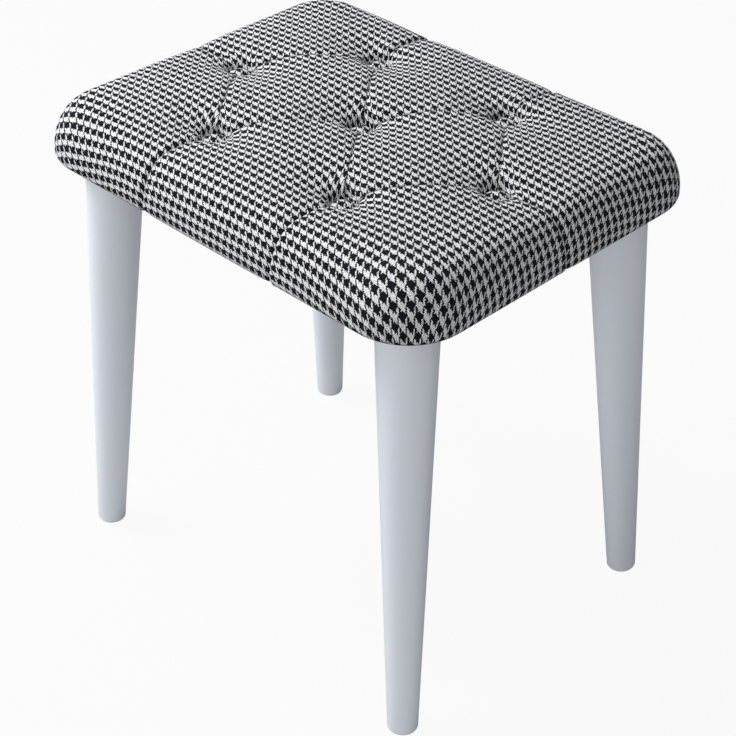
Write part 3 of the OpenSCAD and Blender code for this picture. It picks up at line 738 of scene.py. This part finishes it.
# For each panel: the grid lines where the check keeps its place, and its shift there
PANELS = [((-PITCH_CELLS, 0), (0.0, 0.0)), ((PITCH_CELLS, 0), (0.8, -0.6)),
          ((0, -POLE_CELLS[1]), (0.4, 1.6)), ((0, POLE_CELLS[1]), (-0.5, -1.2)),
          ((-POLE_CELLS[0], -POLE_CELLS[1]), (-1.0, 0.3)), ((POLE_CELLS[0], -POLE_CELLS[1]), (1.2, -0.8)),
          ((POLE_CELLS[0], POLE_CELLS[1]), (0.2, 0.9)), ((-POLE_CELLS[0], POLE_CELLS[1]), (-0.7, 1.1))]
# How far the check closes up round a tuft, most of all at a radius, and the radius inside which it eases off
CLOSING, CLOSING_R, CLOSING_RUN, CLOSING_EASE_R = 6.0, 16.0, 9.0, 12.0
# How far from a tuft, in pitches, a panel is looked up
NEAR_TUFT = 0.2


def pleat_ways(kx, ky):
    """The directions in which pleats leave a tuft, in rising order."""
    ends = [(b[0] - kx, b[1] - ky) for b in TUFTS if abs(b[0] - kx) == 1 and abs(b[1] - ky) == 1]
    ends += [(0, ky)] if ky else []
    ends += [(kx, 0)] if abs(kx) == 2 else []
    return sorted(math.atan2(run_y * PITCH[1], run_x * PITCH[0]) for run_x, run_y in ends)


def gathered(grid):
    """For each panel, how far the check closes up sideways as the cloth gathers towards the tufts."""
    x, y = grid.flat_cloth(False)
    shifts = [[np.zeros_like(x), np.zeros_like(x)] for _ in PANELS]
    for tuft in TUFTS:
        distance, turn = tuft_offset(x, y, tuft)
        close = (CLOSING * np.exp(-((distance - CLOSING_R) / CLOSING_RUN) ** 2)
                 * smooth(distance / CLOSING_EASE_R))
        ways = pleat_ways(*tuft)
        for first, second in zip(ways, ways[1:] + [ways[0] + WHOLE_TURN]):
            middle, half = (first + second) / 2, (second - first) / 2
            near = np.array([[tuft[0] + NEAR_TUFT * math.cos(middle), tuft[1] + NEAR_TUFT * math.sin(middle)]])
            number = panels_at(near * PITCH_CELLS)[0]
            apart = (turn - middle + math.pi) % WHOLE_TURN - math.pi
            slide = np.clip(apart, -half, half) * close
            shifts[number][0] = shifts[number][0] - np.sin(turn) * slide
            shifts[number][1] = shifts[number][1] + np.cos(turn) * slide
    return shifts


def cloth_lengths(points):
    """Running lengths over the surface along the grid's two sets of lines."""
    runs = []
    for axis in (0, 1):
        steps = np.linalg.norm(np.diff(points, axis=axis), axis=-1)
        runs.append(np.insert(np.cumsum(steps, axis=axis), 0, 0.0, axis=axis))
    return runs


def cover_faces(grid, shape, inner_shape):
    """Triangles of the outer side, quads of the inner side, and triangles between their rims.

    The inner side has every second line of the outer one. The outer triangles are cut along the pleats.
    """
    quads = grid_quads(shape)
    kx, ky = (np.floor_divide(index[:-1, :-1].ravel(), PITCH_CELLS) for index in grid.index)
    rising = ((kx + ky) % 2 == 0)[:, None]
    top = np.concatenate([np.where(rising, quads[:, [0, 1, 2]], quads[:, [0, 1, 3]]),
                          np.where(rising, quads[:, [0, 2, 3]], quads[:, [1, 2, 3]])])
    count = shape[0] * shape[1]
    under = grid_quads(inner_shape, count)[:, ::-1]
    rim, inner_rim = rim_of(shape), rim_of(inner_shape, count)
    nearest, between, after = rim[::2], rim[1::2], np.roll(rim[::2], -1)
    inner_after = np.roll(inner_rim, -1)
    edge = np.concatenate([np.stack(corners, -1) for corners in (
        (nearest, inner_rim, between), (inner_rim, inner_after, between), (between, inner_after, after))])
    return top, under, edge


def check_on_panels(grid, outer, bare, faces):
    """The check's place at each corner of the outer triangles, laid panel by panel over the drawn-in surface."""
    flat = grid.flat_cloth(True)
    extra = [run - bare_run for run, bare_run in zip(cloth_lengths(outer), cloth_lengths(bare))]
    middle = (POLE_CELLS[0] + EDGE_STEPS, POLE_CELLS[1] + EDGE_STEPS)
    lines = np.stack([index.ravel() for index in grid.index], -1)
    panel = panels_at(lines[faces].mean(1))
    closed = gathered(grid)
    corners = np.zeros((len(faces), 3, 2))
    for number, ((line_x, line_y), shift) in enumerate(PANELS):
        kept = (extra[0][middle[0] + line_x, :][None, :], extra[1][:, middle[1] + line_y][:, None])
        u, v = (flat[k] + extra[k] - kept[k] + shift[k] + closed[number][k] for k in (0, 1))
        places = np.stack([u.ravel(), v.ravel()], -1)
        corners[panel == number] = places[faces[panel == number]]
    return corners


def make_cover():
    grid, coarse = SeatGrid(), SeatGrid(every=2)
    move = settled(coarse, sheet_points(coarse, 0.0), normals_of(coarse.bare()))
    outer = sheet_points(grid, 0.0) + finer(move)
    inner = sheet_points(coarse, CLOTH_T) + move
    top, under, edge = cover_faces(grid, outer.shape[:2], inner.shape[:2])
    points = np.concatenate([outer.reshape(-1, 3), inner.reshape(-1, 3)])
    cover = new_piece("cloth_cover", points, top.tolist() + under.tolist() + edge.tolist(),
                      "check_cloth", "seat_cover")

    count = outer.shape[0] * outer.shape[1]
    plain, coarse_plain = (np.stack([c.ravel() for c in g.flat_cloth(True)], -1) for g in (grid, coarse))
    corners = (check_on_panels(grid, outer, grid.bare(), top), coarse_plain[under - count],
               plain[np.where(edge < count, edge, 0)])
    lay_check(cover.data, np.concatenate([c.reshape(-1, 2) for c in corners]))
    # The shade painted into the creases and the turn under the board, kept on the cover's points for its material
    painted_shade = cover.data.attributes.new("painted_shade", "FLOAT", "POINT")
    shade = np.concatenate([painted_fold_shade(grid).ravel(), np.zeros(len(points) - count)])
    painted_shade.data.foreach_set("value", shade.astype(np.float32))


def make_wadding():
    grid = SeatGrid(every=2, last_step=ROLL_END)
    outer, inner = (sheet_points(grid, depth) for depth in (WADDING_OUT, WADDING_IN))
    shape = outer.shape[:2]
    count = shape[0] * shape[1]
    rim, inner_rim = rim_of(shape), rim_of(shape, count)
    edge = np.stack([rim, inner_rim, np.roll(inner_rim, -1), np.roll(rim, -1)], -1)
    faces = grid_quads(shape).tolist() + grid_quads(shape, count)[:, ::-1].tolist() + edge.tolist()
    points = np.concatenate([outer.reshape(-1, 3), inner.reshape(-1, 3)])
    new_piece("fibre_layer", points, faces, "fibre_wadding", "wadding")


def make_foam():
    grid = SeatGrid(every=2, last_step=ROLL_END)
    roll_turn = math.acos((BOARD_TOP_Z - SIDE_Z) / (EDGE_Z - FOAM_OUT - SIDE_Z))
    upper = sheet_points(grid, FOAM_OUT, roll_turn)
    shape = upper.shape[:2]
    faces = grid_quads(shape).tolist() + [rim_of(shape)[::-1].tolist()]
    new_piece("foam_core", upper.reshape(-1, 3), faces, "foam", "foam_pad")


# ---------------------------------------------------------------- turned pieces and the dust cover, in millimetres
BUTTON_SIDES, LEG_SIDES, HOLE_SIDES = 64, 96, 64
# The button's rim as radius and height, and the radii of the rings of its dome
BUTTON_RIM = [(7.6, 0.05), (9.0, 0.25), (9.7, 0.75), (BUTTON_R, 1.4), (9.93, 1.95)]
BUTTON_DOME_RISE = BUTTON_H * 2 / 3
BUTTON_DOME_RADII = (9.6, 9, 8, 6.8, 5.4, 4, 2.6, 1.3, 0.5)
BUTTON_SHIFT = (1.3, 2.1)
FOOT_RINGS, TAPER_RINGS = 7, 9
BEVEL_EASE = 0.3
SHARP_ANGLE, DUST_SHARP_ANGLE = math.radians(35), math.radians(50)
DUST_CELLS, DUST_CORNER_CELLS = (42, 32), 12
PUNCH_DEPTH = 20.0
# The dust cover's slack: its depth, and how far from an edge or hole it starts and how soon it is all there
SLACK, SLACK_START, SLACK_RUN = 1.1, 9.0, 26.0
# Ripples in the slack: their strength and their two lengths, along x and along y
RIPPLES = ((0.28, 23, 61), (0.22, -47, 19))


def pick(piece=None):
    """Selects one piece, or none."""
    bpy.ops.object.select_all(action="DESELECT")
    if piece is not None:
        piece.select_set(True)
        bpy.context.view_layer.objects.active = piece


def edit_all():
    bpy.ops.object.mode_set(mode="EDIT")
    bpy.ops.mesh.select_all(action="SELECT")


def apply_transform():
    bpy.ops.object.transform_apply(location=True, rotation=True, scale=True)


def turned(name, rings, sides):
    """A solid turned about the Z axis, from its first ring (radius, height) to its last, in millimetres."""
    pick()
    radius, height = rings[0]
    bpy.ops.mesh.primitive_circle_add(vertices=sides, radius=radius * MM, fill_type="NGON",
                                      location=(0, 0, height * MM))
    piece = bpy.context.object
    piece.name = piece.data.name = name
    edit_all()
    for next_radius, next_height in rings[1:]:
        bpy.ops.mesh.extrude_region_move(TRANSFORM_OT_translate={"value": (0, 0, (next_height - height) * MM)})
        share = next_radius / radius
        bpy.ops.transform.resize(value=(share, share, 1), center_override=(0, 0, next_height * MM))
        radius, height = next_radius, next_height
    bpy.ops.mesh.select_all(action="SELECT")
    bpy.ops.mesh.normals_make_consistent(inside=False)
    bpy.ops.object.mode_set(mode="OBJECT")
    apply_transform()
    return piece


def put(piece, place, turn=None):
    """Moves a finished piece to its place in metres and turns it, in its mesh."""
    pick(piece)
    piece.location = place
    if turn is not None:
        piece.rotation_mode = "QUATERNION"
        piece.rotation_quaternion = turn
    apply_transform()


def copy_of(piece, name):
    twin = piece.copy()
    twin.data = piece.data.copy()
    twin.name = twin.data.name = name
    bpy.context.scene.collection.objects.link(twin)
    return twin


def finish_piece(piece, finish, node_name, sharp=SHARP_ANGLE):
    pick(piece)
    bpy.ops.object.shade_smooth_by_angle(angle=sharp)
    piece.data.materials.clear()
    piece.data.materials.append(FINISHES[finish])
    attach(piece, "root")
    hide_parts(node_name)


def make_buttons():
    """Domed buttons covered in the check, with the cloth drawn round the rim."""
    dome_r = (BUTTON_R ** 2 + BUTTON_DOME_RISE ** 2) / (2 * BUTTON_DOME_RISE)
    rings = BUTTON_RIM + [(r, BUTTON_H - dome_r + math.sqrt(dome_r ** 2 - r ** 2)) for r in BUTTON_DOME_RADII]
    pattern = turned("button", rings, BUTTON_SIDES)
    down, high = np.array(rings[::-1]).T
    run = np.concatenate([[down[0]], down[0] + np.cumsum(np.hypot(np.diff(down), np.diff(high)))])
    for number, tuft in enumerate(TUFTS, 1):
        button = copy_of(pattern, f"covered_button_{number}")
        mesh = button.data
        corners = np.zeros(len(mesh.loops), np.int32)
        mesh.loops.foreach_get("vertex_index", corners)
        points = vertex_places(mesh) / MM
        way = points[:, :2] / np.maximum(np.hypot(points[:, 0], points[:, 1]), 1e-6)[:, None]
        from_top = np.interp(-points[:, 2], -high, run)
        x, y = tuft_place(tuft)
        cloth_place = way * from_top[:, None] + np.array([x, y]) + [number * step for step in BUTTON_SHIFT]
        lay_check(mesh, cloth_place[corners])
        put(button, (x * MM, y * MM, WELL_Z * MM))
        finish_piece(button, "check_cloth", f"tuft_button_{number}")
    bpy.data.objects.remove(pattern)


def make_legs():
    """Long tapers with a rounded foot and a small bevel at the top, cut level with the floor."""
    rings = [(LEG_FOOT_R - FOOT_ROUND + FOOT_ROUND * math.sin(a), LEG_FOOT + FOOT_ROUND * (1 - math.cos(a)))
             for a in np.linspace(0, QUARTER_TURN, FOOT_RINGS)]
    low, high = rings[-1][1], LEG_TOP - LEG_BEVEL
    rings += [(LEG_FOOT_R + (LEG_TOP_R - LEG_FOOT_R) * share, low + (high - low) * share)
              for share in np.linspace(0, 1, TAPER_RINGS)[1:]]
    rings += [(LEG_TOP_R - LEG_BEVEL * BEVEL_EASE, LEG_TOP - LEG_BEVEL * BEVEL_EASE),
              (LEG_TOP_R - LEG_BEVEL, LEG_TOP)]
    pattern = turned("leg", rings, LEG_SIDES)
    for name, (side_x, side_y) in CORNERS.items():
        leg = copy_of(pattern, f"turned_leg_{name}")
        put(leg, (side_x * LEG_PLACE[0] * MM, side_y * LEG_PLACE[1] * MM, BOARD_Z * MM),
            Quaternion((side_y, -side_x, 0), LEG_LEAN))
        edit_all()
        bpy.ops.mesh.bisect(plane_co=(0, 0, 0), plane_no=(0, 0, 1), threshold=0.000001, use_fill=True,
                            clear_inner=True)
        bpy.ops.object.mode_set(mode="OBJECT")
        finish_piece(leg, "white_lacquer", f"leg_{name}")
    bpy.data.objects.remove(pattern)


def make_dust_cover():
    """A thin black sheet, stapled round its edge and a little slack inside it, with holes for the plates."""
    pick()
    half = [h - DUST_INSET for h in SEAT_HALF]
    bpy.ops.mesh.primitive_plane_add(size=1, location=(0, 0, (UNDER_Z - DUST_T) * MM))
    sheet = bpy.context.object
    sheet.name = sheet.data.name = "underside_cloth"
    sheet.scale = (2 * half[0] * MM, 2 * half[1] * MM, 1)
    apply_transform()
    edit_all()
    bpy.ops.mesh.bevel(affect="VERTICES", offset=(CORNER_R - DUST_INSET) * MM, segments=DUST_CORNER_CELLS)
    for axis, cells in enumerate(DUST_CELLS):
        for k in range(1, cells):
            bpy.ops.mesh.select_all(action="SELECT")
            place, normal = [0, 0, 0], [0, 0, 0]
            place[axis], normal[axis] = (2 * k / cells - 1) * half[axis] * MM, 1
            bpy.ops.mesh.bisect(plane_co=place, plane_no=normal)
    bpy.ops.object.mode_set(mode="OBJECT")
    solidify = sheet.modifiers.new("thickness", "SOLIDIFY")
    solidify.thickness, solidify.offset = DUST_T * MM, 1
    bpy.ops.object.modifier_apply(modifier=solidify.name)
    for side_x, side_y in CORNERS.values():
        middle = (side_x * LEG_PLACE[0] * MM, side_y * LEG_PLACE[1] * MM, UNDER_Z * MM)
        bpy.ops.mesh.primitive_cylinder_add(vertices=HOLE_SIDES, radius=PLATE_HOLE_R * MM, depth=PUNCH_DEPTH * MM,
                                            location=middle)
        punch = bpy.context.object
        pick(sheet)
        hole = sheet.modifiers.new("hole", "BOOLEAN")
        hole.operation, hole.object, hole.solver = "DIFFERENCE", punch, "EXACT"
        bpy.ops.object.modifier_apply(modifier=hole.name)
        bpy.data.objects.remove(punch)
    points = vertex_places(sheet.data)
    x, y = points[:, 0] / MM, points[:, 1] / MM
    from_edge = np.minimum(half[0] - np.abs(x), half[1] - np.abs(y))
    from_plates = np.hypot(np.abs(x) - LEG_PLACE[0], np.abs(y) - LEG_PLACE[1]) - PLATE_HOLE_R
    inside = smooth((np.minimum(from_edge, from_plates) - SLACK_START) / SLACK_RUN)
    ripple = sum((strength * np.sin(x / long + y / wide) for strength, long, wide in RIPPLES), 0.5)
    points[:, 2] -= (inside * ripple * SLACK * MM).astype(np.float32)
    sheet.data.vertices.foreach_set("co", points.ravel())
    sheet.data.update()
    finish_piece(sheet, "black_nonwoven", "dust_cover", DUST_SHARP_ANGLE)


def finish_cad_nodes():
    """The board, plates, fasteners and twines keep their CAD shape and take their own finishes."""
    slots = {part["node"]: part["material_slot"] for part in frame["record"]["subparts"]}
    for name, node in frame["nodes"].items():
        node.data.materials.clear()
        node.data.materials.append(FINISHES[slots[name]])


make_camera()
make_floor()
light_the_room()
finish_cad_nodes()
make_cover()
make_wadding()
make_foam()
make_buttons()
make_legs()
make_dust_cover()
